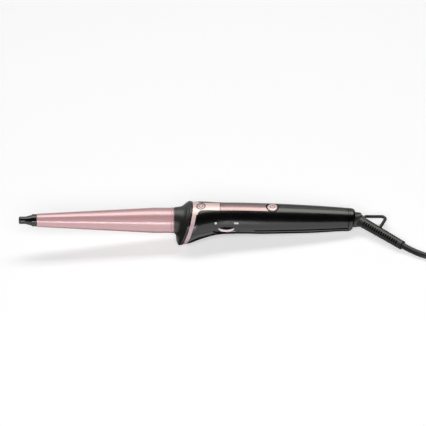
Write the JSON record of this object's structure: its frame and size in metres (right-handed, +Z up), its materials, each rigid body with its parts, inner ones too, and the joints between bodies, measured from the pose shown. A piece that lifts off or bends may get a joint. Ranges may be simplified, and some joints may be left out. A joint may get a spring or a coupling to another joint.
{
  "type": "curling wand",
  "caption": "Conical curling wand with heat guard, slim handle, power button, temperature wheel and swivel mains cord.",
  "frame": {"origin": "on the table, below the middle of the wand's box measured without the cord and its pieces", "axes": "+X from the cool tip towards the swivel, +Z up from the table, +Y to the far side"},
  "size_m": [0.5124, 0.116, 0.0438],
  "materials": {
    "rose_barrel": "satin rose-gold coating",
    "rose_bead": "bright rose-gold ring",
    "rose_trim": "rose metallised plastic",
    "rose_strip": "rose metallised plastic, satin",
    "black_satin": "satin moulded",
    "black_guard": "fine satin moulded",
    "black_gloss": "polished",
    "black_wheel": "satin moulded",
    "black_flex": "soft matt",
    "cord_jacket": "smooth soft jacket",
    "tie_strap": "woven hook-and-loop",
    "white_mark": "plain",
    "steel": "zinc plated",
    "aluminium": "extruded",
    "brass": "plain",
    "nickel": "nickel plated",
    "board": "solder mask",
    "component": "moulded",
    "ceramic": "fired ceramic",
    "film": "polyimide film",
    "phenolic": "heat-resistant moulding",
    "silicone": "silicone",
    "lead_sleeve": "silicone lead"
  },
  "bodies": {
    "cord": {"strain_relief": "black_flex", "hanging_loop": "black_flex", "mains_cord": "cord_jacket", "cord_coil": "cord_jacket", "cord_tie": "tie_strap", "plug_lead": "cord_jacket", "plug_body": "black_satin", "plug_pins": "nickel"},
    "neck": {"swivel_yoke": "black_satin", "tilt_pin": "steel", "slip_rings": "brass"},
    "wand": {"cool_tip": "black_satin", "tip_screw": "steel", "barrel": "rose_barrel", "barrel_collar": "rose_bead", "heater_clamps": "aluminium", "ptc_elements": "ceramic", "electrode_plates": "brass", "insulation_film": "film", "thermistor": "component", "barrel_holder": "phenolic", "holder_screws": "steel", "heat_guard": "black_guard", "guard_ring": "black_gloss", "trim_ring": "rose_trim", "emblem_disc": "rose_strip", "upper_shell": "black_satin", "lower_shell": "black_satin", "top_strip": "rose_strip", "button_bezel": "black_gloss", "button_spring": "silicone", "tact_switch": "component", "circuit_board": "board", "board_parts": "component", "potentiometer": "component", "scale_marks": "white_mark", "thermal_fuse": "silicone", "heater_leads": "lead_sleeve", "supply_leads": "lead_sleeve", "shell_screws": "steel", "end_cap": "black_satin", "swivel_bush": "phenolic", "brush_contacts": "brass"},
    "button": {"power_button": "rose_trim"},
    "wheel": {"temperature_wheel": "black_wheel", "wheel_trim": "rose_strip", "wheel_shaft": "nickel"}
  },
  "joints": [
    {"name": "cord_tilt", "type": "hinge", "parent": "cord", "child": "neck", "pos_m": [0.15428, 0, 0.0104], "axis": [0, 0, 1], "range_deg": [-45, 5]},
    {"name": "swivel_spin", "type": "hinge", "parent": "neck", "child": "wand", "pos_m": [0.15428, 0, 0.0104], "axis": [0.9962, 0, -0.0876], "continuous": true},
    {"name": "button_press", "type": "slide", "parent": "wand", "child": "button", "axis": [0.0876, 0, 0.9962], "range_m": [-0.0008, 0], "stiffness_N_per_m": 1500, "deforming": ["button_spring"]},
    {"name": "wheel_turn", "type": "hinge", "parent": "wand", "child": "wheel", "pos_m": [0.02431, -0.0033, 0.02092], "axis": [0.0876, 0, 0.9962], "range_deg": [0, 270]}
  ]
}
